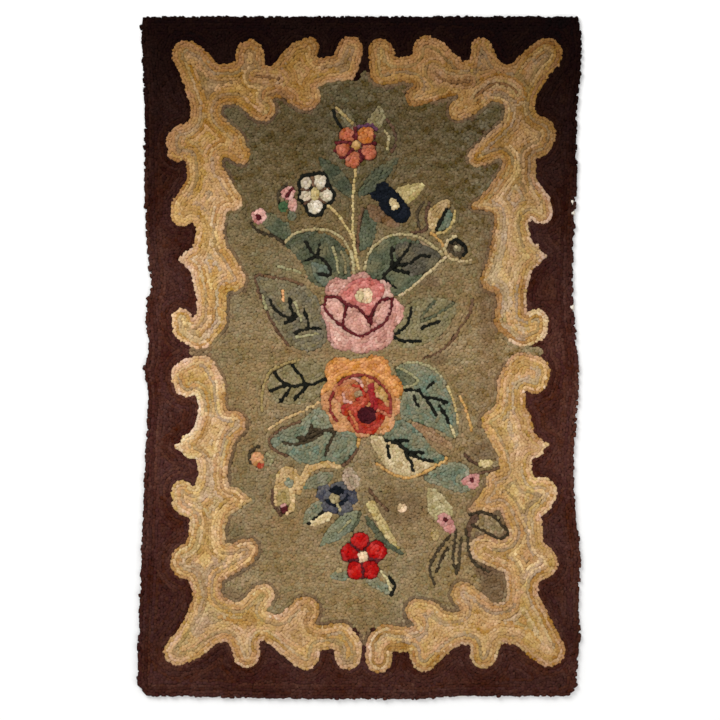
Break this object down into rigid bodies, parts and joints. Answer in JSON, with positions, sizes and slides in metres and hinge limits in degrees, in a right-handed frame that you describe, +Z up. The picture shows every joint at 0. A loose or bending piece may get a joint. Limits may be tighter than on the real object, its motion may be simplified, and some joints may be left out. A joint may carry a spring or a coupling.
{
  "type": "hooked rug",
  "caption": "Flat rectangular hooked wool rug with a flower bouquet on a plain field, a leafy scroll border and a dark surround.",
  "frame": {"origin": "middle of the flat underside, on the floor", "axes": "+X across the rug to the right of the design, +Y along it to the top of the design, +Z up out of the looped face"},
  "size_m": [0.621, 0.9582, 0.008],
  "materials": {
    "hooked_wool": "looped wool pile, matt, faded and uneven dye"
  },
  "bodies": {
    "root": {"hooked_rug": "hooked_wool"}
  },
  "joints": []
}
